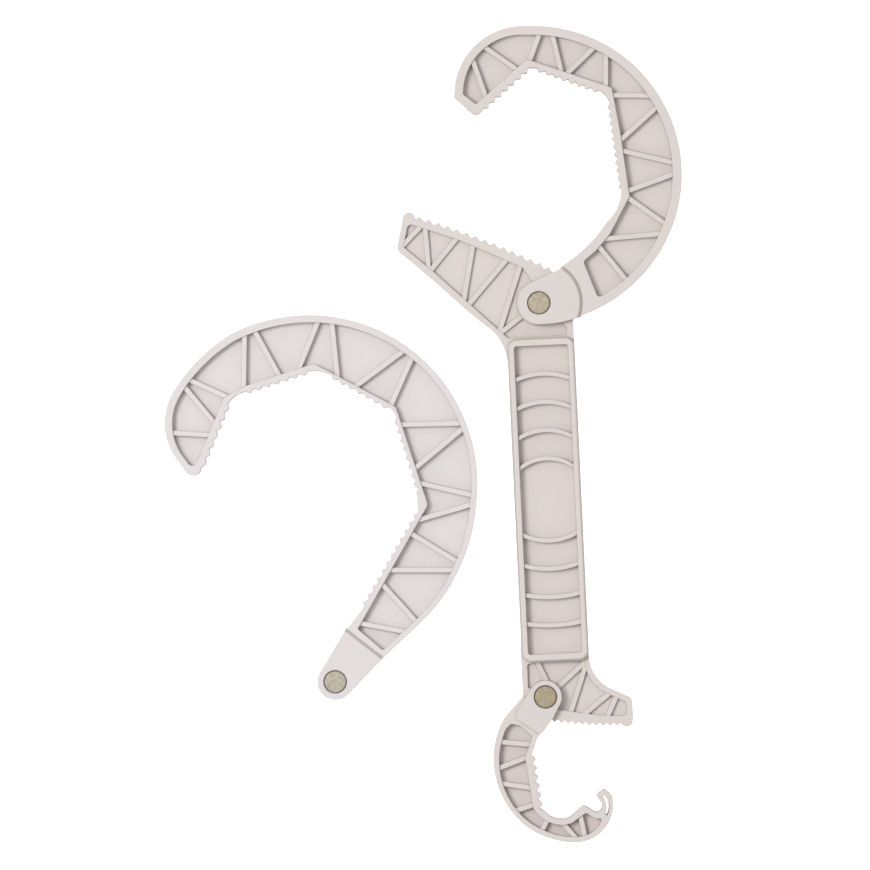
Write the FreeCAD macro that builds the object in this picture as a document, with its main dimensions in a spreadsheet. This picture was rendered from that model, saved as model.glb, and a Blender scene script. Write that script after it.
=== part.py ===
"""Double-ended plastic plumber's wrench: a ribbed grip with a fixed toothed jaw at each
end, a swinging C-shaped jaw on each, and a larger spare jaw lying beside it.

Millimetres. The wrench lies on its back face at Z = 0, +Y runs along the grip towards
the larger jaw, +X is to the right and +Z is up. The origin is the middle of the grip's
back face. Every plastic piece is symmetric about its own mid-plane, so each is drawn on
the XY plane of its own body, with the pivot (or the grip's middle) at the body's origin.
"""
import FreeCAD, Part
import math
import os

Vector = FreeCAD.Vector

document = FreeCAD.newDocument("plumbing_wrench")

# ---------------------------------------------------------------- driving dimensions
DIMENSIONS = {
    # grip: a ribbed frame, all thicknesses given as the half on each side of mid-plane
    "grip_length": 135.2,
    "grip_width": 28.0,
    "grip_corner": 4.0,
    "grip_pocket_corner": 1.2,
    "grip_edge_radius": 1.2,
    "grip_side_wall": 2.7,
    "grip_end_wall": 3.2,
    "grip_half": 9.5,
    "grip_floor_half": 3.5,
    "grip_rib_half": 8.1,
    "grip_rib_width": 1.9,
    "grip_rib_first": 17.2,
    "grip_rib_pitch": 11.8,
    "upper_rib_bow": 4.7,
    "upper_rib_bow_fade": 0.25,
    "lower_rib_bow": 3.4,
    "lower_rib_bow_fade": 0.6,
    # fixed jaws: thin plates that the swinging jaws' ears straddle
    "plate_half": 4.5,
    "plate_floor_half": 1.8,
    "plate_rib_half": 4.1,
    "plate_rib_width": 2.1,
    "upper_nose_radius": 14.0,
    "upper_hub_radius": 9.4,
    "lower_nose_radius": 9.4,
    "lower_hub_radius": 7.0,
    # swinging jaws
    "jaw_half": 8.0,
    "jaw_floor_half": 2.5,
    "jaw_rib_half": 6.8,
    "jaw_rib_width": 2.1,
    "ear_half": 9.5,
    "fork_gap_half": 4.8,
    "ear_slope_drop": 1.5,
    "ear_slope_run": 1.6,
    "medium_fork_radius": 18.5,
    "medium_ear_radius": 9.0,
    "small_fork_radius": 14.6,
    "small_ear_radius": 6.8,
    "large_fork_radius": 21.5,
    "large_ear_radius": 7.5,
    # teeth
    "upper_tooth_depth": 1.65,
    "lower_tooth_depth": 1.3,
    "jaw_tooth_depth": 1.35,
    # pivot pins and their retaining clips
    "pin_radius": 4.0,
    "ear_bore_radius": 4.03,
    "handle_bore_radius": 4.07,
    "recess_radius": 4.9,
    "recess_depth": 1.7,
    "head_radius": 4.6,
    "head_thickness": 1.25,
    "head_edge": 0.3,
    "neck_radius": 2.0,
    "tail_radius": 3.0,
    "tail_end": 0.3,
    "clip_thickness": 0.7,
    "clip_play": 0.05,
    "clip_radius": 4.6,
    "clip_mouth": 3.4,
    "clip_scallop": 0.9,
    "clip_tab_half_angle": 14.0,
    # where the pivots are
    "upper_pivot_y": 82.2,
    "lower_pivot_x": -4.9,
    "lower_pivot_y": -82.3,
    "spare_pivot_x": -92.3,
    "spare_pivot_y": -72.0,
    "spare_rest_span": 134.0,
    "spare_lift": 0.202,
}

sheet = document.addObject("Spreadsheet::Sheet", "Sizes")
for row, (alias, value) in enumerate(DIMENSIONS.items(), start=1):
    sheet.set(f"A{row}", alias)
    sheet.set(f"B{row}", str(value))
    sheet.setAlias(f"B{row}", alias)
document.recompute()


def size(alias):
    """The present value of one driving dimension."""
    return float(sheet.get(alias))


def cell(alias):
    """The name of one driving dimension inside an expression."""
    return f"<<Sizes>>.{alias}"


# ---------------------------------------------------------------- outlines
def polar(radius, degrees, centre=(0.0, 0.0)):
    """A point at a radius and angle about a centre."""
    angle = math.radians(degrees)
    return (centre[0] + radius * math.cos(angle), centre[1] + radius * math.sin(angle))


class Outline:
    """A closed chain of straight runs, arcs and rows of teeth for a sketch."""

    def __init__(self, start):
        self.start = Vector(start[0], start[1], 0)
        self.here = self.start
        self.curves = []

    def line(self, *points):
        """Straight runs through the points. A third number rounds that corner."""
        stops = [self.here] + [Vector(point[0], point[1], 0) for point in points]
        radii = [0.0] + [point[2] if len(point) > 2 else 0.0 for point in points]
        for index in range(1, len(stops)):
            corner = stops[index]
            if radii[index] == 0.0 or index == len(stops) - 1:
                self._straight(corner)
                continue
            back = (stops[index - 1] - corner).normalize()
            ahead = (stops[index + 1] - corner).normalize()
            half_angle = back.getAngle(ahead) / 2
            reach = radii[index] / math.tan(half_angle)
            inward = (back + ahead).normalize()
            middle = corner + inward * (radii[index] / math.sin(half_angle) - radii[index])
            self._straight(corner + back * reach)
            self._curve(middle, corner + ahead * reach)
        return self

    def arc(self, middle, end):
        """A circular arc through a middle point."""
        self._curve(Vector(middle[0], middle[1], 0), Vector(end[0], end[1], 0))
        return self

    def teeth(self, end, count, depth, lean=0.5, swell=0.0):
        """Teeth to the right of the way from here to end, which joins their roots.

        lean is how far along its pitch each tooth has its crest, and swell is how far
        the row of roots bows out to the right.
        """
        start = self.here
        whole = Vector(end[0], end[1], 0) - start
        outward = Vector(whole.y, -whole.x, 0).normalize()

        def root(number):
            part = number / count
            return start + whole * part + outward * (4 * swell * part * (1 - part))

        for number in range(count):
            low, high = root(number), root(number + 1)
            step = high - low
            crest = low + step * lean + outward * depth
            self._straight(low + (crest - low) * 0.72)
            self._curve(low + (crest - low) * 0.96 + step * 0.02, high + (crest - high) * 0.72)
            self._straight(high)
        return self

    def close(self):
        """Run straight back to the start."""
        if (self.here - self.start).Length > 1e-6:
            self._straight(self.start)
        return self

    def _straight(self, end):
        self.curves.append(Part.LineSegment(self.here, end))
        self.here = end

    def _curve(self, middle, end):
        self.curves.append(Part.Arc(self.here, middle, end))
        self.here = end


def circle(radius, centre=(0.0, 0.0)):
    """A full circle as an outline of its own."""
    outline = Outline(centre)
    centre_point = Vector(centre[0], centre[1], 0)
    outline.curves = [Part.Circle(centre_point, Vector(0, 0, 1), radius)]
    return outline


def rectangle(width, length, corner):
    """A round-cornered rectangle about the origin."""
    right, top = width / 2, length / 2
    return Outline((0, -top)).line(
        (right, -top, corner), (right, top, corner),
        (-right, top, corner), (-right, -top, corner), (0, -top))


def rib(start, end, width, bite=1.2):
    """A straight rib along a centre line, running a little way into the walls it joins."""
    first = Vector(start[0], start[1], 0)
    last = Vector(end[0], end[1], 0)
    along = (last - first).normalize()
    side = Vector(-along.y, along.x, 0) * (width / 2)
    first = first - along * bite
    last = last + along * bite
    corners = [first + side, first - side, last - side, last + side]
    outline = Outline(corners[0])
    return outline.line(*[(corner.x, corner.y) for corner in corners[1:]]).close()


# ---------------------------------------------------------------- body features
def new_body(name):
    """A PartDesign body whose label is its node name."""
    body = document.addObject("PartDesign::Body", name)
    body.Label = name
    return body


def add_sketch(body, name, outlines):
    """A sketch on the body's own XY plane."""
    planes = [plane for plane in body.Origin.OriginFeatures if plane.Role == "XY_Plane"]
    sketch = body.newObject("Sketcher::SketchObject", name)
    sketch.AttachmentSupport = [(planes[0], "")]
    sketch.MapMode = "FlatFace"
    for outline in outlines:
        sketch.addGeometry(outline.curves, False)
    return sketch


def add_plate(body, name, outlines, half):
    """A pad of twice the named half thickness, centred on the mid-plane."""
    pad = body.newObject("PartDesign::Pad", name)
    pad.Profile = add_sketch(body, name + "_sketch", outlines)
    pad.SideType = "Symmetric"
    pad.setExpression("Length", f"2 * {cell(half)}")
    return pad


def add_ribs(body, name, centre_lines, width, half):
    """Straight ribs in two pads, so that neighbours that meet don't share a sketch."""
    for turn, suffix in enumerate(("_odd", "_even")):
        strips = [rib(start, end, size(width)) for start, end in centre_lines[turn::2]]
        add_plate(body, name + suffix, strips, half)


def add_pockets(body, name, outline, half, floor_half):
    """The same pocket in the front and the back face, leaving a web between them."""
    for suffix, sign in (("_front", 1), ("_back", -1)):
        sketch = add_sketch(body, name + suffix + "_sketch", [outline])
        sketch.setExpression("AttachmentOffset.Base.z", f"{sign} * {cell(half)}")
        pocket = body.newObject("PartDesign::Pocket", name + suffix)
        pocket.Profile = sketch
        pocket.Reversed = sign < 0
        pocket.setExpression("Length", f"{cell(half)} - {cell(floor_half)}")


def add_bore(body, name, radius, centre=(0.0, 0.0)):
    """A round hole right through the body."""
    sketch = add_sketch(body, name + "_sketch", [circle(size(radius), centre)])
    bore = body.newObject("PartDesign::Pocket", name)
    bore.Profile = sketch
    bore.Type = "ThroughAll"
    bore.SideType = "Symmetric"


def face_edges(feature, point=None):
    """Names of a plate's front and back edges, or of those that pass through a point."""
    document.recompute()
    names = []
    for number, edge in enumerate(feature.Shape.Edges, start=1):
        if edge.BoundBox.ZLength > 1e-6:
            continue
        if point:
            target = Part.Vertex(Vector(point[0], point[1], edge.CenterOfMass.z))
            if edge.distToShape(target)[0] > 0.05:
                continue
        names.append(f"Edge{number}")
    return names


def slope_ear_ends(body, ears, end_point):
    """Slope the ears' inner end down to the jaw, on the front and the back face."""
    slope = body.newObject("PartDesign::Chamfer", "ear_slopes")
    slope.Base = (ears, face_edges(ears, end_point))
    slope.ChamferType = "Two distances"
    slope.setExpression("Size", cell("ear_slope_run"))
    slope.setExpression("Size2", cell("ear_slope_drop"))
    return slope


def add_fork(body, fork_radius):
    """Clear the gap between the ears, bore them and recess both faces for the pin."""
    gap = body.newObject("PartDesign::Pocket", "fork_gap")
    gap.Profile = add_sketch(body, "fork_gap_sketch", [circle(size(fork_radius))])
    gap.SideType = "Symmetric"
    gap.setExpression("Length", f"2 * {cell('fork_gap_half')}")
    add_bore(body, "pin_bore", "ear_bore_radius")
    for suffix, sign in (("_front", 1), ("_back", -1)):
        sketch = add_sketch(body, "recess" + suffix + "_sketch", [circle(size("recess_radius"))])
        sketch.setExpression("AttachmentOffset.Base.z", f"{sign} * {cell('ear_half')}")
        recess = body.newObject("PartDesign::Pocket", "recess" + suffix)
        recess.Profile = sketch
        recess.Reversed = sign < 0
        recess.setExpression("Length", cell("recess_depth"))


# ---------------------------------------------------------------- handle
def grip_ribs():
    """Eight bowed cross ribs, the bow fading towards the grip's ends."""
    reach = size("grip_width") / 2 - size("grip_side_wall") + 1.0
    half_width = size("grip_rib_width") / 2
    ribs = []
    for end, side in (("upper", 1), ("lower", -1)):
        for number in range(4):
            centre = size("grip_rib_first") + number * size("grip_rib_pitch")
            bow = size(end + "_rib_bow") / (1 + size(end + "_rib_bow_fade") * number)
            outer, inner = centre + half_width, centre - half_width
            bent = Outline((reach, side * (outer - bow)))
            bent.arc((0, side * outer), (-reach, side * (outer - bow)))
            bent.line((-reach, side * (inner - bow)))
            bent.arc((0, side * inner), (reach, side * (inner - bow)))
            ribs.append(bent.close())
    return ribs


def add_grip(body):
    """The ribbed hand grip, open-faced on both sides."""
    frame = rectangle(size("grip_width"), size("grip_length"), size("grip_corner"))
    block = add_plate(body, "grip_frame", [frame], "grip_half")
    rounding = body.newObject("PartDesign::Fillet", "grip_rounding")
    rounding.Base = (block, face_edges(block))
    rounding.setExpression("Radius", cell("grip_edge_radius"))
    inner_width = size("grip_width") - 2 * size("grip_side_wall")
    inner_length = size("grip_length") - 2 * size("grip_end_wall")
    hollow = rectangle(inner_width, inner_length, size("grip_pocket_corner"))
    add_pockets(body, "grip_pocket", hollow, "grip_half", "grip_floor_half")
    add_plate(body, "grip_ribs", grip_ribs(), "grip_rib_half")


def add_upper_jaw(body):
    """The larger fixed jaw: a tapering toothed horn that leans to the left."""
    pivot = (0.0, size("upper_pivot_y"))
    nose = size("upper_nose_radius")
    hub = size("upper_hub_radius")
    horn = Outline((12.6, 66.0)).line((12.6, 61.0), (14.0, 61.0), (14.0, pivot[1]))
    horn.arc(polar(nose, 31, pivot), polar(nose, 62, pivot))
    horn.line((6.4, 94.3))
    horn.teeth((-50.2, 119.6), 15, size("upper_tooth_depth"), lean=0.6, swell=1.3)
    horn.arc((-52.6, 122.6), (-54.9, 121.3))
    horn.line((-58.3, 107.2, 3.0), (-45.0, 95.0))
    horn.line((-30.0, 80.3), (-23.0, 74.1))
    horn.arc((-17.1, 67.9), (-14.3, 59.0))
    horn.line((-12.6, 59.0), (-12.6, 66.0)).close()
    add_plate(body, "upper_jaw", [horn], "plate_half")

    hollow = Outline((0.0, 68.2))
    hollow.line((11.2, 68.2, 1.0), (11.2, 71.3, 1.5), (9.4, 73.6, 1.0), polar(hub, -48, pivot))
    hollow.arc(polar(hub, 180, pivot), polar(hub, 104, pivot))
    hollow.line((-6.2, 97.4, 1.5), (-32.5, 110.2), (-53.1, 117.9, 1.8), (-55.4, 108.2, 1.2),
                (-43.3, 97.3), (-28.0, 82.3), (-13.7, 68.2)).close()
    add_pockets(body, "upper_pocket", hollow, "plate_half", "plate_floor_half")
    add_ribs(body, "upper_ribs", [
        ((-55.6, 109.0), (-48.3, 115.9)),
        ((-45.9, 114.8), (-45.3, 98.5)),
        ((-44.0, 98.5), (-33.4, 110.3)),
        ((-31.1, 85.3), (-26.4, 107.3)),
        ((-28.9, 83.3), (-12.8, 100.7)),
        ((-16.8, 71.4), (-7.3, 97.5)),
        ((-16.0, 70.8), (-7.5, 76.9)),
    ], "plate_rib_width", "plate_rib_half")
    add_bore(body, "upper_bore", "handle_bore_radius", pivot)


def add_lower_jaw(body):
    """The smaller fixed jaw: a toothed foot that points to the right."""
    pivot = (size("lower_pivot_x"), size("lower_pivot_y"))
    nose = size("lower_nose_radius")
    hub = size("lower_hub_radius")
    foot = Outline((-12.6, -66.0)).line((-12.6, -61.0), (-14.3, -61.0), (-14.3, pivot[1]))
    foot.arc(polar(nose, 225, pivot), polar(nose, 282, pivot))
    foot.teeth((26.0, -94.6), 10, size("lower_tooth_depth"), lean=0.5, swell=0.6)
    foot.arc((28.3, -96.3), (30.9, -95.0))
    foot.line((31.3, -91.0), (31.0, -84.6, 1.6), (25.0, -81.5))
    foot.arc((17.0, -75.5), (14.0, -66.5))
    foot.line((14.0, -61.0), (12.6, -61.0), (12.6, -66.0)).close()
    add_plate(body, "lower_jaw", [foot], "plate_half")

    hollow = Outline((0.0, -68.2))
    hollow.line((-11.9, -68.2, 1.2), (-11.9, -78.4, 0.5), polar(hub, 148, pivot))
    hollow.arc(polar(hub, 48, pivot), polar(hub, -52, pivot))
    hollow.line((12.5, -90.3), (22.0, -91.6), (28.8, -91.9, 2.0), (28.9, -86.2, 1.8), (21.6, -82.4))
    hollow.arc((15.0, -76.9), (12.0, -68.2)).close()
    add_pockets(body, "lower_pocket", hollow, "plate_half", "plate_floor_half")
    add_ribs(body, "lower_ribs", [
        ((-7.7, -67.5), (-4.3, -75.3)),
        ((11.8, -69.0), (1.0, -78.2)),
        ((12.3, -70.5), (5.5, -89.0)),
        ((21.5, -82.5), (11.1, -90.3)),
        ((24.5, -84.1), (21.0, -91.0)),
    ], "plate_rib_width", "plate_rib_half")
    add_bore(body, "lower_bore", "handle_bore_radius", pivot)


def make_handle():
    """The handle, one moulding: grip, upper fixed jaw and lower fixed jaw."""
    body = new_body("handle")
    add_grip(body)
    add_upper_jaw(body)
    add_lower_jaw(body)
    return body


# ---------------------------------------------------------------- swinging jaws
def make_medium_jaw():
    """The C-shaped jaw on the handle's upper end, drawn about its pivot."""
    body = new_body("medium_jaw")
    ear = size("medium_ear_radius")
    fork = size("medium_fork_radius")
    depth = size("jaw_tooth_depth")

    lug = Outline(polar(ear, 111)).line(polar(fork, 52))
    lug.arc(polar(fork, 16), polar(fork, -20.5))
    lug.arc((9.3, -8.45), polar(ear, -92)).arc(polar(ear, 190), polar(ear, 111))
    ears = add_plate(body, "ears", [lug], "ear_half")
    slope_ear_ends(body, ears, polar(fork, 16))

    # the outside is a wide arc about one centre and a tighter one about another
    wide, tight = (0.0, 53.8), (-3.0, 87.5)
    bow = Outline((15.5, -6.5)).arc(polar(62.2, -10, wide), (0.0, 115.8))
    bow.arc(polar(28.2, 135, tight), (-31.3, 87.6))
    bow.line((-24.2, 80.5)).arc((-22.0, 79.9), (-19.6, 82.2))
    bow.teeth((0.2, 98.4), 7, depth)
    bow.line((3.9, 98.1))
    bow.teeth((29.4, 87.6), 8, depth)
    bow.arc((31.7, 85.6), (33.4, 82.3))
    bow.teeth((36.8, 45.6), 11, 0.8 * depth)
    bow.arc((35.0, 38.8), (30.0, 32.6)).arc((20.4, 22.1), (10.0, 14.9))
    bow.line((9.0, 13.0)).close()
    add_plate(body, "bow", [bow], "jaw_half")

    hollow = Outline((26.9, 1.9)).arc(polar(58.4, -5, wide), polar(58.2, 90, wide))
    hollow.arc(polar(24.7, 137, tight), polar(24.5, 175, tight))
    hollow.line((-27.6, 88.6, 0.6), (-22.3, 84.0, 1.0), (-0.2, 101.9, 1.2), (34.6, 88.4, 1.5),
                (37.4, 69.0), (39.9, 42.6, 2.0), (31.0, 27.3), (25.0, 20.8), (19.4, 16.4, 1.4),
                (24.7, 1.2, 1.4), (26.9, 1.9)).close()
    add_pockets(body, "pocket", hollow, "jaw_half", "jaw_floor_half")
    add_ribs(body, "ribs", [
        ((-22.8, 102.3), (-18.2, 87.3)),
        ((-17.1, 107.4), (-5.0, 98.1)),
        ((5.1, 111.4), (0.8, 101.1)),
        ((11.1, 110.5), (13.7, 96.7)),
        ((27.5, 105.1), (16.9, 95.7)),
        ((32.8, 101.8), (32.1, 88.3)),
        ((35.6, 85.2), (50.5, 84.3)),
        ((37.7, 66.7), (52.4, 78.9)),
        ((38.4, 61.7), (58.0, 56.1)),
        ((40.3, 45.3), (58.0, 50.9)),
        ((39.8, 41.7), (53.5, 31.2)),
        ((29.0, 25.5), (51.5, 26.4)),
        ((26.6, 21.8), (36.4, 8.6)),
    ], "jaw_rib_width", "jaw_rib_half")
    add_fork(body, "medium_fork_radius")
    return body


def make_small_jaw():
    """The C-shaped jaw with a hooked tip on the handle's lower end, about its pivot."""
    body = new_body("small_jaw")
    ear = size("small_ear_radius")

    lug = Outline(polar(ear, 138)).line((-13.8, -7.7, 2.4), (-2.9, -15.8, 1.8), (2.6, -9.2),
                                        polar(ear, -30))
    lug.arc(polar(ear, 54), polar(ear, 138))
    add_plate(body, "ears", [lug], "ear_half")

    back, heel, toe = (10.8, -27.2), (9.1, -32.0), (10.2, -45.2)
    bow = Outline((-7.4, 0.6)).line((-9.4, 0.3), (-13.7, -4.3), (-16.3, -6.9), (-18.9, -10.3))
    bow.arc(polar(33.7, 180, back), polar(34.0, 230, back))
    bow.arc(polar(28.9, 250, heel), polar(16.1, 268, toe)).arc(polar(16.1, 310, toe), (26.0, -47.5))
    # the hook: a rounded tip, a seat and a bump in front of it
    bow.line((26.0, -42.9)).line((22.9, -39.4, 1.0), (19.2, -42.0, 0.6), (20.4, -44.2))
    bow.arc((21.3, -47.7), (18.6, -49.1))
    bow.line((13.9, -45.9, 1.6), (7.9, -50.7))
    bow.arc((2.6, -51.1), (-2.4, -48.0))
    bow.line((-4.6, -46.6))
    bow.teeth((-7.1, -24.2), 6, 1.6)
    bow.line((-5.6, -20.7), (-4.6, -17.7), (-3.1, -15.4), (-2.4, -13.0)).close()
    slot = Outline((22.7, -42.2)).arc((24.4, -46.0), (23.3, -50.7))
    slot.line((22.5, -49.9)).arc((23.2, -46.6), (21.6, -42.8)).close()
    add_plate(body, "bow", [bow, slot], "jaw_half")

    hollow = Outline(polar(31.5, 152, back)).arc(polar(31.4, 190, back), polar(31.8, 230, back))
    hollow.arc(polar(26.7, 252, heel), polar(13.9, 268, toe)).arc(polar(13.9, 292, toe), (19.8, -54.8))
    hollow.line((21.6, -51.7, 0.8), (18.6, -51.9), (14.6, -49.2, 1.0), (8.5, -53.2), (5.4, -53.9))
    hollow.arc((-2.9, -51.2), (-7.2, -46.4))
    hollow.line((-9.7, -24.6), (-7.7, -20.2), (-6.2, -16.2, 0.8), (-11.5, -11.4, 1.0),
                (-14.9, -10.6, 1.2), polar(31.5, 152, back)).close()
    add_pockets(body, "pocket", hollow, "jaw_half", "jaw_floor_half")
    add_ribs(body, "ribs", [
        ((-19.1, -18.0), (-7.6, -19.6)),
        ((-20.3, -28.7), (-9.3, -25.0)),
        ((-19.8, -35.4), (-8.3, -37.6)),
        ((-14.3, -46.9), (-7.4, -44.9)),
        ((-3.5, -54.6), (-1.9, -51.9)),
        ((9.6, -59.1), (5.4, -53.9)),
        ((13.5, -57.8), (12.4, -51.2)),
    ], "jaw_rib_width", "jaw_rib_half")
    add_fork(body, "small_fork_radius")
    return body


def make_large_jaw():
    """The spare jaw, the largest of the three, drawn about its pivot as it lies."""
    body = new_body("large_jaw")
    ear = size("large_ear_radius")
    depth = size("jaw_tooth_depth")

    lug = Outline(polar(ear, 147)).line((5.7, 22.3), (20.9, 9.4), polar(ear, -43))
    lug.arc(polar(ear, 232), polar(ear, 147))
    ears = add_plate(body, "ears", [lug], "ear_half")
    slope_ear_ends(body, ears, (13.3, 15.85))

    ring = (-7.2, 84.0)
    bow = Outline((18.4, 7.4)).line((21.0, 9.5), (37.1, 23.2))
    bow.arc((55.1, 47.0), (62.0, 70.0))
    bow.arc(polar(69.8, 50, ring), (-36.7, 147.2))
    bow.arc((-51.2, 136.8), (-62.7, 123.1)).arc((-66.2, 108.5), (-62.6, 97.0))
    bow.line((-58.9, 91.2)).arc((-54.7, 88.9), (-51.7, 92.2))
    bow.teeth((-39.5, 118.2), 7, depth)
    bow.arc((-36.5, 121.0), (-32.2, 122.9))
    bow.teeth((-5.4, 130.2), 7, depth)
    bow.arc((-0.6, 129.9), (3.9, 128.2))
    bow.teeth((27.4, 113.6), 7, depth)
    bow.arc((29.3, 111.7), (30.4, 109.0))
    bow.teeth((38.1, 79.0), 8, depth)
    bow.line((37.2, 77.0), (37.8, 75.9)).arc((37.6, 72.4), (37.9, 69.2))
    bow.teeth((13.2, 30.6), 12, depth)
    bow.line((5.6, 21.6), (4.6, 18.6)).close()
    add_plate(body, "bow", [bow], "jaw_half")

    hollow = Outline((22.6, 13.9)).line((36.2, 25.4))
    hollow.arc((52.5, 47.3), (59.6, 70.5))
    hollow.arc(polar(67.0, 50, ring), (-35.4, 144.2))
    hollow.arc((-49.0, 134.5), (-59.8, 121.6)).arc((-63.0, 108.3), (-60.1, 98.4))
    hollow.line((-55.2, 91.2, 2.0), (-52.2, 96.6), (-41.0, 120.6, 1.5), (-31.7, 125.2),
                (-2.7, 133.2, 3.0), (30.6, 113.6, 3.0), (42.1, 72.0, 3.0), (10.4, 21.6, 0.8),
                (20.6, 12.2, 0.8), (22.6, 13.9)).close()
    add_pockets(body, "pocket", hollow, "jaw_half", "jaw_floor_half")
    add_ribs(body, "ribs", [
        ((-62.7, 107.0), (-47.7, 105.4)),
        ((-56.7, 125.3), (-45.9, 111.0)),
        ((-54.0, 128.3), (-39.7, 121.0)),
        ((-31.2, 145.7), (-32.5, 125.0)),
        ((-26.4, 147.0), (-17.5, 129.0)),
        ((-0.4, 150.3), (-9.0, 131.7)),
        ((5.6, 149.7), (6.8, 127.7)),
        ((14.7, 123.2), (33.9, 136.1)),
        ((28.8, 114.9), (38.0, 133.1)),
        ((33.2, 106.0), (56.8, 105.4)),
        ((37.9, 88.0), (57.2, 102.6)),
        ((40.0, 81.0), (60.3, 75.3)),
        ((38.3, 66.0), (60.0, 71.3)),
        ((34.6, 60.3), (53.3, 47.7)),
        ((25.6, 45.5), (51.6, 44.3)),
        ((21.6, 39.7), (34.3, 24.3)),
        ((11.3, 24.0), (29.3, 19.7)),
    ], "jaw_rib_width", "jaw_rib_half")
    add_fork(body, "large_fork_radius")
    return body


# ---------------------------------------------------------------- pins and clips
def half_profile(body, name, points):
    """A solid turned about the body's own Z axis from a half profile (radius, height)."""
    planes = [plane for plane in body.Origin.OriginFeatures if plane.Role == "XZ_Plane"]
    axes = [axis for axis in body.Origin.OriginFeatures if axis.Role == "Z_Axis"]
    sketch = body.newObject("Sketcher::SketchObject", name + "_sketch")
    sketch.AttachmentSupport = [(planes[0], "")]
    sketch.MapMode = "FlatFace"
    sketch.addGeometry(Outline(points[0]).line(*points[1:]).close().curves, False)
    turned = body.newObject("PartDesign::Revolution", name)
    turned.Profile = sketch
    turned.ReferenceAxis = (axes[0], "")
    turned.Angle = 360
    return turned


def make_pin(jaw_name):
    """A stepped steel pin: a flat head in front, a shank, and a necked tail behind."""
    body = new_body(jaw_name + "_pin")
    seat = size("ear_half") - size("recess_depth")
    head_top = seat + size("head_thickness")
    neck_end = -seat - size("clip_thickness") - size("clip_play")
    tail_end = -size("ear_half") + size("tail_end")
    edge = size("head_edge")
    head, shank = size("head_radius"), size("pin_radius")
    neck, tail = size("neck_radius"), size("tail_radius")
    half_profile(body, "turned_pin", [
        (0.0, head_top), (head - edge, head_top), (head, head_top - edge), (head, seat),
        (shank, seat), (shank, -seat), (neck, -seat), (neck, neck_end),
        (tail, neck_end), (tail, tail_end + edge), (tail - edge, tail_end), (0.0, tail_end),
    ])
    return body


def make_clip(jaw_name):
    """A flat spring-steel E clip that snaps on the pin's neck behind the ear."""
    body = new_body(jaw_name + "_clip")
    outer = size("clip_radius")
    tab_radius = size("neck_radius") + size("clip_play")
    scallop_radius = tab_radius + size("clip_scallop")
    half_mouth = size("clip_mouth") / 2
    mouth_angle = math.degrees(math.asin(half_mouth / outer))
    throat_angle = math.degrees(math.asin(half_mouth / scallop_radius))
    # three tabs bear on the neck, with a scallop between each two; the mouth is at -90 degrees
    tabs = (210, 90, -30)
    half_tab = size("clip_tab_half_angle")
    shape = Outline(polar(outer, -90 + mouth_angle))
    shape.arc(polar(outer, 90), polar(outer, -90 - mouth_angle))
    shape.line(polar(scallop_radius, -90 - throat_angle))
    shape.line(polar(tab_radius, tabs[0] + half_tab))
    for tab, next_tab in zip(tabs, tabs[1:]):
        shape.arc(polar(tab_radius, tab), polar(tab_radius, tab - half_tab))
        shape.arc(polar(scallop_radius, (tab + next_tab) / 2), polar(tab_radius, next_tab + half_tab))
    shape.arc(polar(tab_radius, tabs[-1]), polar(tab_radius, tabs[-1] - half_tab))
    shape.line(polar(scallop_radius, -90 + throat_angle)).close()
    clip = body.newObject("PartDesign::Pad", "clip_blank")
    sketch = add_sketch(body, "clip_sketch", [shape])
    sketch.setExpression("AttachmentOffset.Base.z", f"{cell('recess_depth')} - {cell('ear_half')}")
    clip.Profile = sketch
    clip.Reversed = True
    clip.setExpression("Length", cell("clip_thickness"))
    return body


# ---------------------------------------------------------------- the whole wrench
def place(bodies, **aliases):
    """Set bodies level with the grip's mid-plane, and at the named sizes along X and Y."""
    for body in bodies:
        body.setExpression("Placement.Base.z", cell("grip_half"))
        for axis, alias in aliases.items():
            body.setExpression("Placement.Base." + axis, cell(alias))


def lay_spare_down(bodies):
    """Tip the spare jaw so that it rests on its ears' inner ends and on the far side of its bow.

    Tipped about its pivot it would dip below the table there, so it is lifted as well.
    """
    droop = size("ear_half") - size("jaw_half")
    tilt = math.degrees(math.atan2(droop, size("spare_rest_span")))
    far_side = Vector(-0.35, 0.94, 0)
    axis = Vector(0, 0, 1).cross(far_side)
    for body in bodies:
        body.Placement = FreeCAD.Placement(body.Placement.Base, FreeCAD.Rotation(axis, tilt))
        body.setExpression("Placement.Base.z", f"{cell('grip_half')} + {cell('spare_lift')}")


def check_document():
    """Stop if any feature failed or any sub-part is not one valid solid."""
    for item in document.Objects:
        if "Invalid" in item.State or "Error" in item.State:
            raise RuntimeError(f"{item.Name} failed: {item.State}")
        if item.isDerivedFrom("PartDesign::Pocket"):
            change = item.BaseFeature.Shape.Volume - item.Shape.Volume
            if change <= 0:
                raise RuntimeError(f"{item.Name} cut nothing")


def export(bodies):
    """Write one STEP file for each sub-part, named by its label."""
    os.makedirs("parts", exist_ok=True)
    for body in bodies:
        shape = body.Shape
        if shape.isNull() or not shape.isValid() or len(shape.Solids) != 1:
            raise RuntimeError(f"{body.Label} is not one valid solid")
        shape.exportStep(f"parts/{body.Label}.step")
        print(f"{body.Label}: {shape.Volume / 1000:.2f} cm3, {len(shape.Faces)} faces")


def main():
    handle = make_handle()
    medium = [make_medium_jaw(), make_pin("medium_jaw"), make_clip("medium_jaw")]
    small = [make_small_jaw(), make_pin("small_jaw"), make_clip("small_jaw")]
    large = [make_large_jaw(), make_pin("large_jaw"), make_clip("large_jaw")]
    place([handle])
    place(medium, y="upper_pivot_y")
    place(small, x="lower_pivot_x", y="lower_pivot_y")
    place(large, x="spare_pivot_x", y="spare_pivot_y")
    document.recompute()
    lay_spare_down(large)
    document.recompute()
    check_document()
    export([handle] + medium + small + large)


main()
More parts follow.
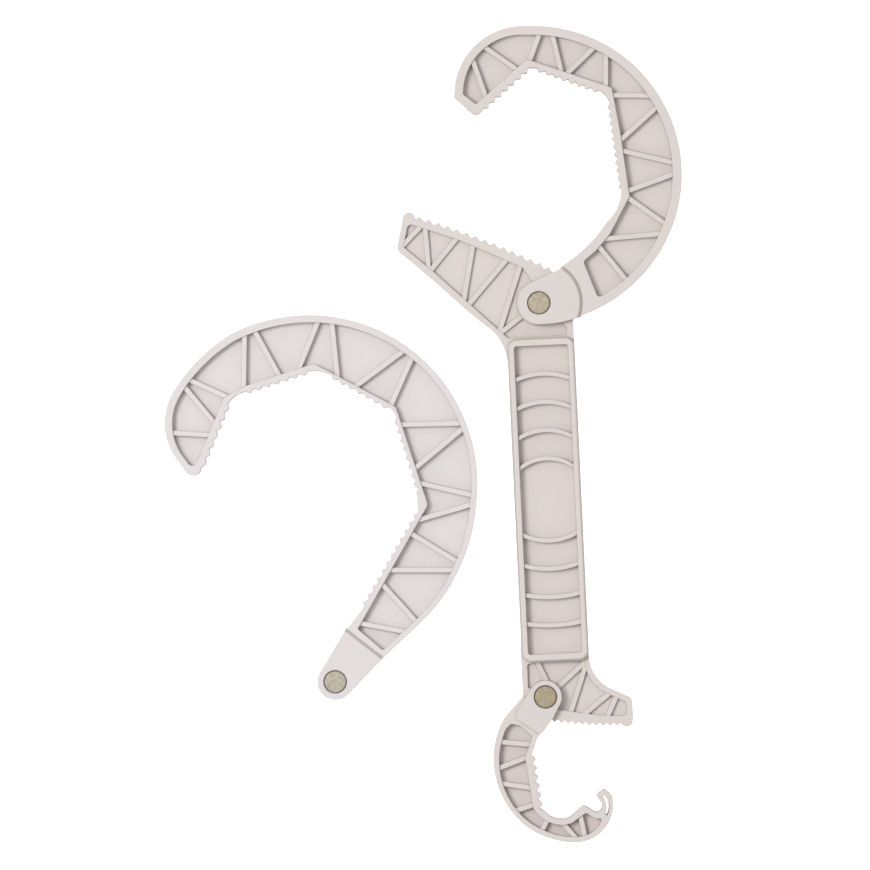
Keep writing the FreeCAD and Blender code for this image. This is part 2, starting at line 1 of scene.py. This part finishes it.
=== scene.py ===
"""Looks for the double-ended plumbing wrench: moulded plastic, plated pins, studio.

Metres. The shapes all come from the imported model. Here each moulding gets the small
edge radii of its mould, every node gets its material, and a camera looks straight down
on the wrench under a large soft light from the upper left.
"""
import bpy
import math
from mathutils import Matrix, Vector


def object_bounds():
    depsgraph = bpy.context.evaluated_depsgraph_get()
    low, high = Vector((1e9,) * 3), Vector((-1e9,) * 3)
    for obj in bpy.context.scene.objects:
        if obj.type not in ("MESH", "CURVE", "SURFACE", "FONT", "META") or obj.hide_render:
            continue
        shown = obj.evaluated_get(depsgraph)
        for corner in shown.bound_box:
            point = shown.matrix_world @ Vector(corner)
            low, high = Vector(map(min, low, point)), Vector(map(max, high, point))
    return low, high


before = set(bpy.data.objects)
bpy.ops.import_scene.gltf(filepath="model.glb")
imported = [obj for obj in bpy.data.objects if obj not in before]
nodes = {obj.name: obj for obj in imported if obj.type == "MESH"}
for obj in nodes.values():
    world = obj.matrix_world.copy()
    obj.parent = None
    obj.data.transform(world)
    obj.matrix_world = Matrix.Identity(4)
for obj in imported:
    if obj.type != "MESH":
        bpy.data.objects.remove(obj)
cad_low, cad_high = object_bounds()

MM = 0.001

# ---------------------------------------------------------------- camera and light
VIEW_WIDTH = 363.2 * MM      # what the picture's width spans at the jaws' front faces
VIEW_OFFSET = Vector((2.3 * MM, 1.85 * MM))   # from the middle of the object's box
VIEW_ROLL = math.radians(-2.68)
LENS = 500.0                 # millimetres, as a camera's lens is named
SENSOR = 36.0                # millimetres
CLIP_START = 0.01            # the camera sees from here
CLIP_END = 50.0              # to here
KEY_HEADING = Vector((-0.94, 0.33))          # from the object towards the key light
KEY_ELEVATION = math.radians(69)
KEY_DISTANCE = 3.0
KEY_SIZE = 0.85
KEY_POWER = 46.0
SKY_COLOUR = (1.0, 0.99, 0.98, 1.0)
SKY = (                      # height on a unit sphere, brightness
    (-1.0, 0.75),
    (-0.25, 0.75),
    (0.0, 0.14),
    (0.7, 0.70))
FLOOR_SIDE = 4.0
FLOOR_GAP = 0.05 * MM        # between the table and the object's lowest point
FLOOR_COLOUR = (0.70, 0.70, 0.70, 1.0)
FLOOR_ROUGHNESS = 0.9
FLOOR_GLOW_COLOUR = (1.0, 1.0, 1.0, 1.0)
FLOOR_GLOW = 0.85

# ---------------------------------------------------------------- edge radii
PLASTIC_EDGE = (0.30 * MM, 3)    # radius, number of facets across it
PIN_EDGE = (0.20 * MM, 3)
CLIP_EDGE = (0.06 * MM, 2)
SHARP = math.radians(35)         # an edge that turns more than this gets an edge radius
FLAT_ENOUGH = math.radians(0.1)  # facets that turn less than this become one flat
SAME_POINT = 0.001 * MM
LEVEL_WITHIN = 0.01 * MM         # how much an edge may rise and still count as level
FACES_UP = 0.999                 # the least upward part of a level face's normal

# ---------------------------------------------------------------- plastic
CLOUD_SCALE = 38                 # noise scales are in cycles per metre
MOTTLE_SCALE = 420
MOTTLE_STRENGTH = 0.5
MOTTLE_SHADE = 0.965             # of the base colour
GLOSS_SCALE = 900
SKIN_SCALE = 2600
FLOW_SCALE = 160
CORNER_REACH = 1.0 * MM          # how near a wall must be for the painted corner shade
# painted shade in corners, as a share of the dark colour
CORNER_PAINTED_SHADE = 0.30
# painted shade on leaning faces, as a share of the dark colour
SLOPE_PAINTED_SHADE = 0.35
SEAM_HALF_WIDTH = 0.14 * MM
SEAM_GRIME = 0.30
SEAM_HEIGHT = 0.08 * MM
# pale edges, partly wear and partly painted highlight
WEAR_AND_HIGHLIGHT_REACH = 0.6 * MM
WEAR_AND_HIGHLIGHT_STRENGTH = 0.85

# ---------------------------------------------------------------- steel
BLOTCH_SCALE = 700
FLECK_SCALE = 2600
FLECK_STRENGTH = 0.4
GRAIN_SCALE = 1500
# bright pin edges, partly rubbed plating and partly painted highlight
RUB_AND_HIGHLIGHT_REACH = 0.5 * MM
RUB_AND_HIGHLIGHT_STRENGTH = 0.9
RUB_AND_HIGHLIGHT_SHINE = 1.6                  # times the bright plating's colour
SPRING_SCALE = 900
SPRING_DARK = (0.16, 0.16, 0.17)
SPRING_BRIGHT = (0.28, 0.28, 0.29)


# ---------------------------------------------------------------- node helpers
class Material:
    """A material with a Principled shader, and short ways to add nodes to it."""

    def __init__(self, name):
        self.material = bpy.data.materials.new(name)
        self.material.use_nodes = True
        self.tree = self.material.node_tree
        self.shader = self.tree.nodes["Principled BSDF"]
        self.where = self.node("ShaderNodeTexCoord")
        self.place = self.where.outputs["Object"]

    def node(self, kind, **settings):
        """A new node with its settings."""
        made = self.tree.nodes.new(kind)
        for key, value in settings.items():
            setattr(made, key, value)
        return made

    def join(self, output, target):
        """A link from an output to an input."""
        self.tree.links.new(output, target)

    def give(self, source, target):
        """A link from an output, or a plain value."""
        if isinstance(source, bpy.types.NodeSocket):
            self.join(source, target)
        elif isinstance(source, (tuple, list)):
            target.default_value = (*source, 1.0)
        else:
            target.default_value = source

    def surface(self, **values):
        """Plain values for the shader's own sockets, with spaces in their names as _."""
        for name, value in values.items():
            self.shader.inputs[name.replace("_", " ")].default_value = value

    def noise(self, scale, detail=2.0, roughness=0.5, distortion=0.0):
        """Noise in the object's own space, about 0.5. scale is in cycles per metre."""
        made = self.node("ShaderNodeTexNoise")
        made.inputs["Scale"].default_value = scale
        made.inputs["Detail"].default_value = detail
        made.inputs["Roughness"].default_value = roughness
        made.inputs["Distortion"].default_value = distortion
        self.join(self.place, made.inputs["Vector"])
        return made.outputs["Fac"]

    def ramp(self, value, low, high, start=0.0, end=1.0):
        """value from low to high, turned into start to end and held there."""
        made = self.node("ShaderNodeMapRange")
        made.inputs["From Min"].default_value = low
        made.inputs["From Max"].default_value = high
        made.inputs["To Min"].default_value = start
        made.inputs["To Max"].default_value = end
        self.join(value, made.inputs["Value"])
        return made.outputs["Result"]

    def scaled(self, value, strength):
        """A value between 0 and 1, made weaker."""
        return self.ramp(value, 0.0, 1.0, 0.0, strength)

    def blend(self, factor, first, second):
        """Two colours, given as outputs or as plain values, mixed by a factor."""
        made = self.node("ShaderNodeMix", data_type="RGBA")
        self.give(factor, made.inputs[0])
        self.give(first, made.inputs[6])
        self.give(second, made.inputs[7])
        return made.outputs[2]

    def times(self, first, second):
        """The product of two outputs."""
        made = self.node("ShaderNodeMath", operation="MULTIPLY")
        self.join(first, made.inputs[0])
        self.join(second, made.inputs[1])
        return made.outputs[0]

    def along(self, vector, direction):
        """How far a vector output reaches along a plain direction."""
        made = self.node("ShaderNodeVectorMath", operation="DOT_PRODUCT")
        made.inputs[1].default_value = direction
        self.join(vector, made.inputs[0])
        return made.outputs["Value"]

    def slope(self, upward):
        """1 on faces that lean by about half a right angle, 0 on level and upright ones.
        The limits are cosines of the lean."""
        level = self.along(self.where.outputs["Normal"], upward)
        return self.times(self.ramp(level, 0.95, 0.82), self.ramp(level, 0.35, 0.55))

    def parting_line(self, upward, height, half_width):
        """1 along the line where the mould's halves meet, at a height along upward."""
        offset = self.node("ShaderNodeMath", operation="SUBTRACT")
        self.join(self.along(self.place, upward), offset.inputs[0])
        offset.inputs[1].default_value = height
        away = self.node("ShaderNodeMath", operation="ABSOLUTE")
        self.join(offset.outputs[0], away.inputs[0])
        return self.ramp(away.outputs[0], half_width, 0.4 * half_width)

    def openness(self, reach):
        """1 in the open, towards 0 in a corner, from how much of the sky is hidden nearby."""
        made = self.node("ShaderNodeAmbientOcclusion", samples=6)
        made.inputs["Distance"].default_value = reach
        return made.outputs["AO"]

    def edge_mask(self, reach):
        """1 at an edge, inside and outside corners alike, and 0 further off than reach."""
        rounded = self.node("ShaderNodeBevel", samples=4)
        rounded.inputs["Radius"].default_value = reach
        true_normal = self.node("ShaderNodeNewGeometry").outputs["Normal"]
        turn = self.node("ShaderNodeVectorMath", operation="DOT_PRODUCT")
        self.join(rounded.outputs["Normal"], turn.inputs[0])
        self.join(true_normal, turn.inputs[1])
        return self.ramp(turn.outputs["Value"], 0.99, 0.80)

    def bump(self, height, distance, strength, below=None):
        """A bump from a height, on top of another bump."""
        made = self.node("ShaderNodeBump")
        made.inputs["Distance"].default_value = distance
        made.inputs["Strength"].default_value = strength
        self.join(height, made.inputs["Height"])
        if below:
            self.join(below, made.inputs["Normal"])
        return made.outputs["Normal"]


# ---------------------------------------------------------------- materials
def shaded(colour, share):
    """A plain colour, darker or lighter by a share."""
    return tuple(share * part for part in colour)


def face_normal(piece):
    """The direction that most of a flat piece's upward surface faces."""
    total = Vector()
    for polygon in piece.data.polygons:
        if polygon.normal.z > FACES_UP:
            total += polygon.normal * polygon.area
    return total.normalized()


def middle_plane(piece):
    """A flat piece's upward direction, and the height of its middle along it."""
    upward = face_normal(piece)
    heights = [upward.dot(vertex.co) for vertex in piece.data.vertices]
    return upward, (min(heights) + max(heights)) / 2


def moulded_plastic(name, piece, base, cloudy, dirt_and_shade, pale_wear_and_highlight):
    """Glass-filled nylon: satin skin, faint flow clouds, a parting line half way up the
    piece's sides, painted shade in corners and on slopes, and edges made pale, partly by wear
    and partly as painted highlight."""
    upward, height = middle_plane(piece)
    made = Material(name)
    clouds = made.ramp(made.noise(CLOUD_SCALE, detail=3, distortion=0.6), 0.35, 0.65)
    colour = made.blend(clouds, base, cloudy)
    mottle = made.ramp(made.noise(MOTTLE_SCALE, detail=3), 0.3, 0.7, 0.0, MOTTLE_STRENGTH)
    colour = made.blend(mottle, colour, shaded(base, MOTTLE_SHADE))
    openness = made.openness(CORNER_REACH)
    # painted shade: darker where ambient occlusion finds a corner nearby
    colour = made.blend(made.ramp(openness, 0.88, 0.45, 0.0, CORNER_PAINTED_SHADE), colour, dirt_and_shade)
    # painted shade: darker on leaning faces, as if turned away from the light
    colour = made.blend(made.scaled(made.slope(upward), SLOPE_PAINTED_SHADE), colour, dirt_and_shade)
    seam = made.parting_line(upward, height, SEAM_HALF_WIDTH)
    colour = made.blend(made.scaled(seam, SEAM_GRIME), colour, dirt_and_shade)
    # paler at open edges: partly wear, partly painted highlight
    exposed = made.ramp(openness, 0.74, 0.92, 0.0, WEAR_AND_HIGHLIGHT_STRENGTH)
    worn_and_lit = made.times(made.edge_mask(WEAR_AND_HIGHLIGHT_REACH), exposed)
    colour = made.blend(worn_and_lit, colour, pale_wear_and_highlight)
    made.give(colour, made.shader.inputs["Base Color"])
    gloss = made.ramp(made.noise(GLOSS_SCALE, detail=2), 0.3, 0.7, 0.44, 0.56)
    made.give(gloss, made.shader.inputs["Roughness"])
    made.surface(IOR=1.52, Specular_IOR_Level=0.4, Subsurface_Weight=0.12)
    made.surface(Subsurface_Radius=(1.0, 0.8, 0.6), Subsurface_Scale=1.2 * MM)
    skin = made.bump(made.noise(SKIN_SCALE, detail=3), 0.03 * MM, 0.5)
    streaks = made.noise(FLOW_SCALE, detail=2, distortion=1.0)
    flow = made.bump(streaks, 0.10 * MM, 0.35, below=skin)
    ridge = made.bump(seam, SEAM_HEIGHT, 0.8, below=flow)
    made.join(ridge, made.shader.inputs["Normal"])
    return made.material


def plated_steel(name, bright, dull, spots):
    """Yellow-passivated steel: matt, blotched and flecked, with edges made bright, partly as
    rubbed plating and partly as painted highlight.
    """
    made = Material(name)
    blotch = made.ramp(made.noise(BLOTCH_SCALE, detail=4, roughness=0.6), 0.36, 0.64)
    colour = made.blend(blotch, dull, bright)
    flecks = made.ramp(made.noise(FLECK_SCALE, detail=2), 0.60, 0.72, 0.0, FLECK_STRENGTH)
    colour = made.blend(flecks, colour, spots)
    # brighter at edges: partly rubbed plating, partly painted highlight
    rubbed_and_lit = made.ramp(made.edge_mask(RUB_AND_HIGHLIGHT_REACH), 0.0, 0.7, 0.0, RUB_AND_HIGHLIGHT_STRENGTH)
    colour = made.blend(rubbed_and_lit, colour, shaded(bright, RUB_AND_HIGHLIGHT_SHINE))
    made.give(colour, made.shader.inputs["Base Color"])
    made.surface(Metallic=0.55)
    made.give(made.ramp(blotch, 0, 1, 0.62, 0.48), made.shader.inputs["Roughness"])
    grain = made.bump(made.noise(GRAIN_SCALE, detail=4), 0.04 * MM, 0.5)
    made.join(grain, made.shader.inputs["Normal"])
    return made.material


def dark_steel(name):
    """Phosphated spring steel."""
    made = Material(name)
    blotch = made.ramp(made.noise(SPRING_SCALE, detail=3), 0.35, 0.65)
    colour = made.blend(blotch, SPRING_DARK, SPRING_BRIGHT)
    made.give(colour, made.shader.inputs["Base Color"])
    made.surface(Metallic=0.9)
    made.give(made.ramp(blotch, 0, 1, 0.5, 0.38), made.shader.inputs["Roughness"])
    return made.material


# ---------------------------------------------------------------- shapes
def new_group(name):
    """An empty geometry-nodes group that passes one mesh through."""
    group = bpy.data.node_groups.new(name, "GeometryNodeTree")
    for way in ("INPUT", "OUTPUT"):
        group.interface.new_socket("Geometry", in_out=way, socket_type="NodeSocketGeometry")
    return group, group.nodes.new("NodeGroupInput"), group.nodes.new("NodeGroupOutput")


def sharp_edges(group, measure):
    """The edges that turn more than SHARP: all with Unsigned Angle, convex with Signed Angle."""
    angle = group.nodes.new("GeometryNodeInputMeshEdgeAngle")
    compare = group.nodes.new("FunctionNodeCompare")
    compare.operation = "GREATER_THAN"
    compare.inputs["B"].default_value = SHARP
    group.links.new(angle.outputs[measure], compare.inputs["A"])
    return compare.outputs["Result"]


def level_edges(group, normal):
    """The edges that lie across a normal: rims, rib tops and floors."""
    ends = group.nodes.new("GeometryNodeInputMeshEdgeVertices")
    along = group.nodes.new("ShaderNodeVectorMath")
    along.operation = "SUBTRACT"
    group.links.new(ends.outputs["Position 1"], along.inputs[0])
    group.links.new(ends.outputs["Position 2"], along.inputs[1])
    rise = group.nodes.new("ShaderNodeVectorMath")
    rise.operation = "DOT_PRODUCT"
    rise.inputs[1].default_value = normal
    group.links.new(along.outputs[0], rise.inputs[0])
    level = group.nodes.new("FunctionNodeCompare")
    level.operation = "EQUAL"
    level.inputs["B"].default_value = 0.0
    level.inputs["Epsilon"].default_value = LEVEL_WITHIN
    group.links.new(rise.outputs["Value"], level.inputs["A"])
    return level.outputs["Result"]


def make_marker(name, normal):
    """Marks for bevelling the convex sharp edges that lie across a normal."""
    group, source, result = new_group(name)
    both = group.nodes.new("FunctionNodeBooleanMath")
    both.operation = "AND"
    group.links.new(sharp_edges(group, "Signed Angle"), both.inputs[0])
    group.links.new(level_edges(group, normal), both.inputs[1])
    store = group.nodes.new("GeometryNodeStoreNamedAttribute")
    store.data_type = "FLOAT"
    store.domain = "EDGE"
    store.inputs["Name"].default_value = "bevel_weight_edge"
    group.links.new(source.outputs[0], store.inputs["Geometry"])
    group.links.new(both.outputs[0], store.inputs["Value"])
    group.links.new(store.outputs["Geometry"], result.inputs[0])
    return group


def make_smoother():
    """Shades smooth everywhere but across the edges that are still sharp."""
    group, source, result = new_group("smooth_by_angle")
    faces = group.nodes.new("GeometryNodeSetShadeSmooth")
    group.links.new(source.outputs[0], faces.inputs["Geometry"])
    soft = group.nodes.new("GeometryNodeSetShadeSmooth")
    soft.domain = "EDGE"
    group.links.new(faces.outputs[0], soft.inputs["Geometry"])
    hard = group.nodes.new("GeometryNodeSetShadeSmooth")
    hard.domain = "EDGE"
    hard.inputs["Shade Smooth"].default_value = False
    group.links.new(soft.outputs[0], hard.inputs["Geometry"])
    group.links.new(sharp_edges(group, "Unsigned Angle"), hard.inputs["Selection"])
    group.links.new(hard.outputs[0], result.inputs[0])
    return group


smoother = make_smoother()


def run_group(piece, name, group):
    """A geometry-nodes modifier."""
    modifier = piece.modifiers.new(name, "NODES")
    modifier.node_group = group


def weld(piece, name):
    """Joins points that lie on each other."""
    modifier = piece.modifiers.new(name, "WELD")
    modifier.merge_threshold = SAME_POINT


def round_edges(piece, edge, marker):
    """The small radii that a mould or a lathe leaves on the edges of a CAD node."""
    weld(piece, "weld_facets")
    merge = piece.modifiers.new("merge_flats", "DECIMATE")
    merge.decimate_type = "DISSOLVE"
    merge.angle_limit = FLAT_ENOUGH
    run_group(piece, "mark_edges", marker)
    bevel = piece.modifiers.new("edge_radii", "BEVEL")
    bevel.width, bevel.segments = edge
    bevel.limit_method = "WEIGHT"
    bevel.use_clamp_overlap = False
    bevel.loop_slide = False
    weld(piece, "weld_slivers")
    run_group(piece, "smooth_by_angle", smoother)
    weighted = piece.modifiers.new("weighted_normals", "WEIGHTED_NORMAL")
    weighted.keep_sharp = True


def dress(name, edge, marker, material):
    """Edge radii for a CAD node, and one material in every slot of it."""
    round_edges(nodes[name], edge, marker)
    for slot in nodes[name].material_slots:
        slot.material = material


# ---------------------------------------------------------------- studio
def add_camera():
    """A camera straight above, turned by VIEW_ROLL."""
    middle = (cad_low + cad_high) / 2
    data = bpy.data.cameras.new("camera")
    data.lens = LENS
    data.sensor_width = SENSOR
    data.clip_start = CLIP_START
    data.clip_end = CLIP_END
    camera = bpy.data.objects.new("camera", data)
    height = cad_high.z + VIEW_WIDTH * LENS / SENSOR
    camera.location = (middle.x + VIEW_OFFSET.x, middle.y + VIEW_OFFSET.y, height)
    camera.rotation_euler = (0.0, 0.0, VIEW_ROLL)
    bpy.context.scene.collection.objects.link(camera)
    bpy.context.scene.camera = camera


def add_key_light():
    """One large soft box, high on the upper left."""
    middle = (cad_low + cad_high) / 2
    level = KEY_HEADING.normalized() * math.cos(KEY_ELEVATION)
    way = Vector((level.x, level.y, math.sin(KEY_ELEVATION)))
    data = bpy.data.lights.new("key_light", "AREA")
    data.shape = "SQUARE"
    data.size = KEY_SIZE
    data.energy = KEY_POWER
    light = bpy.data.objects.new("key_light", data)
    light.location = middle + way * KEY_DISTANCE
    light.rotation_mode = "QUATERNION"
    light.rotation_quaternion = (-way).to_track_quat("-Z", "Y")
    bpy.context.scene.collection.objects.link(light)


def add_world():
    """Soft light from overhead, and some that the table throws back up."""
    world = bpy.data.worlds.new("studio")
    world.use_nodes = True
    tree = world.node_tree
    background = tree.nodes["Background"]
    background.inputs["Color"].default_value = SKY_COLOUR
    way = tree.nodes.new("ShaderNodeTexCoord")
    split = tree.nodes.new("ShaderNodeSeparateXYZ")
    height = tree.nodes.new("ShaderNodeMapRange")
    height.inputs["From Min"].default_value = -1.0
    fade = tree.nodes.new("ShaderNodeValToRGB")
    for stop in SKY[1:-1]:
        fade.color_ramp.elements.new((stop[0] + 1) / 2)
    for element, (rise, brightness) in zip(fade.color_ramp.elements, SKY):
        element.position = (rise + 1) / 2
        element.color = (brightness, brightness, brightness, 1.0)
    tree.links.new(way.outputs["Generated"], split.inputs[0])
    tree.links.new(split.outputs["Z"], height.inputs["Value"])
    tree.links.new(height.outputs["Result"], fade.inputs["Fac"])
    tree.links.new(fade.outputs["Color"], background.inputs["Strength"])
    bpy.context.scene.world = world


def add_floor():
    """A plain white table that glows faintly, as a light table does."""
    half = FLOOR_SIDE / 2
    corners = [(-half, -half, 0), (half, -half, 0), (half, half, 0), (-half, half, 0)]
    mesh = bpy.data.meshes.new("floor")
    mesh.from_pydata(corners, [], [(0, 1, 2, 3)])
    floor = bpy.data.objects.new("floor", mesh)
    floor.location.z = cad_low.z - FLOOR_GAP
    made = Material("floor")
    made.surface(Base_Color=FLOOR_COLOUR, Roughness=FLOOR_ROUGHNESS)
    made.surface(Emission_Color=FLOOR_GLOW_COLOUR, Emission_Strength=FLOOR_GLOW)
    mesh.materials.append(made.material)
    bpy.context.scene.collection.objects.link(floor)
    floor.visible_diffuse = False    # the world already holds the light it throws back up


add_camera()
add_key_light()
add_world()
add_floor()
bpy.context.scene.view_settings.view_transform = "Standard"

# ---------------------------------------------------------------- the wrench
handle_plastic = moulded_plastic(
    "handle_plastic", nodes["handle"],
    base=(0.675, 0.618, 0.588), cloudy=(0.655, 0.603, 0.582),
    dirt_and_shade=(0.34, 0.30, 0.24), pale_wear_and_highlight=(0.86, 0.82, 0.79))
spare_plastic = moulded_plastic(
    "spare_plastic", nodes["large_jaw"],
    base=(0.705, 0.66, 0.67), cloudy=(0.685, 0.645, 0.65),
    dirt_and_shade=(0.38, 0.35, 0.31), pale_wear_and_highlight=(0.86, 0.83, 0.83))
pin_plating = plated_steel(
    "pin_plating",
    bright=(0.43, 0.375, 0.28), dull=(0.36, 0.31, 0.225), spots=(0.26, 0.225, 0.165))
small_pin_plating = plated_steel(
    "small_pin_plating",
    bright=(0.37, 0.32, 0.225), dull=(0.31, 0.265, 0.175), spots=(0.22, 0.185, 0.12))
spare_pin_plating = plated_steel(
    "spare_pin_plating",
    bright=(0.41, 0.38, 0.315), dull=(0.35, 0.32, 0.26), spots=(0.26, 0.24, 0.19))
spring_steel = dark_steel("spring_steel")

flat_marker = make_marker("mark_level_edges", (0, 0, 1))
tilted_marker = make_marker("mark_tilted_edges", face_normal(nodes["large_jaw"]))

JAWS = (   # the spare large jaw lies tilted, so its level edges are marked along its own normal
    ("medium_jaw", flat_marker, handle_plastic, pin_plating),
    ("small_jaw", flat_marker, handle_plastic, small_pin_plating),
    ("large_jaw", tilted_marker, spare_plastic, spare_pin_plating))

dress("handle", PLASTIC_EDGE, flat_marker, handle_plastic)
for jaw, marker, plastic, plating in JAWS:
    dress(jaw, PLASTIC_EDGE, marker, plastic)
    dress(jaw + "_pin", PIN_EDGE, marker, plating)
    dress(jaw + "_clip", CLIP_EDGE, marker, spring_steel)
